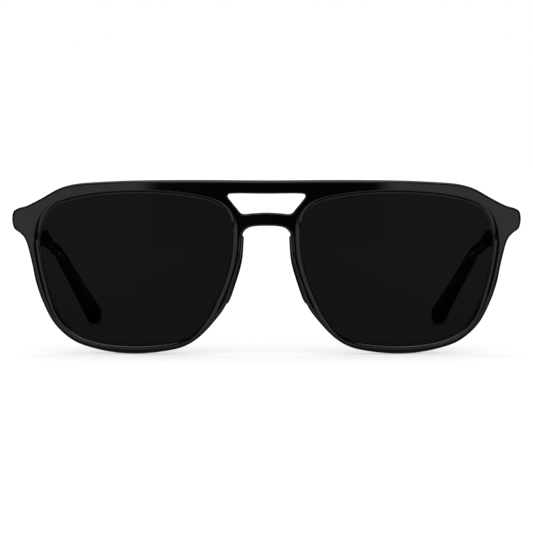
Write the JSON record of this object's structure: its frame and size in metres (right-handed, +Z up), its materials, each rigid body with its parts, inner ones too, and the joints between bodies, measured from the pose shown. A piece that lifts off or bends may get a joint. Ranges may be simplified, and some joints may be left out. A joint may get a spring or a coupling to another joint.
{
  "type": "sunglasses",
  "caption": "Double-bridge navigator sunglasses with a black acetate front, near-opaque dark lenses, bonded nose pads, barrel hinges and slim folding temples.",
  "frame": {"origin": "On the resting surface, under the middle of the open sunglasses' bounding box.", "axes": "+Z is up, -Y is forward (the way the wearer looks) and +X is the wearer's left; X = 0 is the plane of symmetry."},
  "size_m": [0.1462, 0.1405, 0.0496],
  "materials": {
    "front_acetate": "polished black acetate",
    "lens": "dark grey tint, smooth",
    "pad_acetate": "polished black acetate",
    "hinge_steel": "fine satin",
    "arm_metal": "satin black lacquer on nickel silver",
    "tip_acetate": "polished black acetate"
  },
  "bodies": {
    "front": {"front_frame": "front_acetate", "left_lens": "lens", "right_lens": "lens", "left_nose_pad": "pad_acetate", "right_nose_pad": "pad_acetate", "left_front_hinge": "hinge_steel", "right_front_hinge": "hinge_steel", "left_plate_screws": "hinge_steel", "right_plate_screws": "hinge_steel", "left_hinge_screw": "hinge_steel", "right_hinge_screw": "hinge_steel"},
    "left_temple": {"left_temple_hinge": "hinge_steel", "left_temple_rivets": "hinge_steel", "left_temple_arm": "arm_metal", "left_temple_tip": "tip_acetate"},
    "right_temple": {"right_temple_hinge": "hinge_steel", "right_temple_rivets": "hinge_steel", "right_temple_arm": "arm_metal", "right_temple_tip": "tip_acetate"}
  },
  "joints": [
    {"name": "left_temple_fold", "type": "hinge", "parent": "front", "child": "left_temple", "pos_m": [0.0643, -0.05219, 0.0325], "axis": [0, 0, 1], "range_deg": [0, 89]},
    {"name": "right_temple_fold", "type": "hinge", "parent": "front", "child": "right_temple", "pos_m": [-0.0643, -0.05219, 0.0325], "axis": [0, 0, -1], "range_deg": [0, 84]}
  ]
}
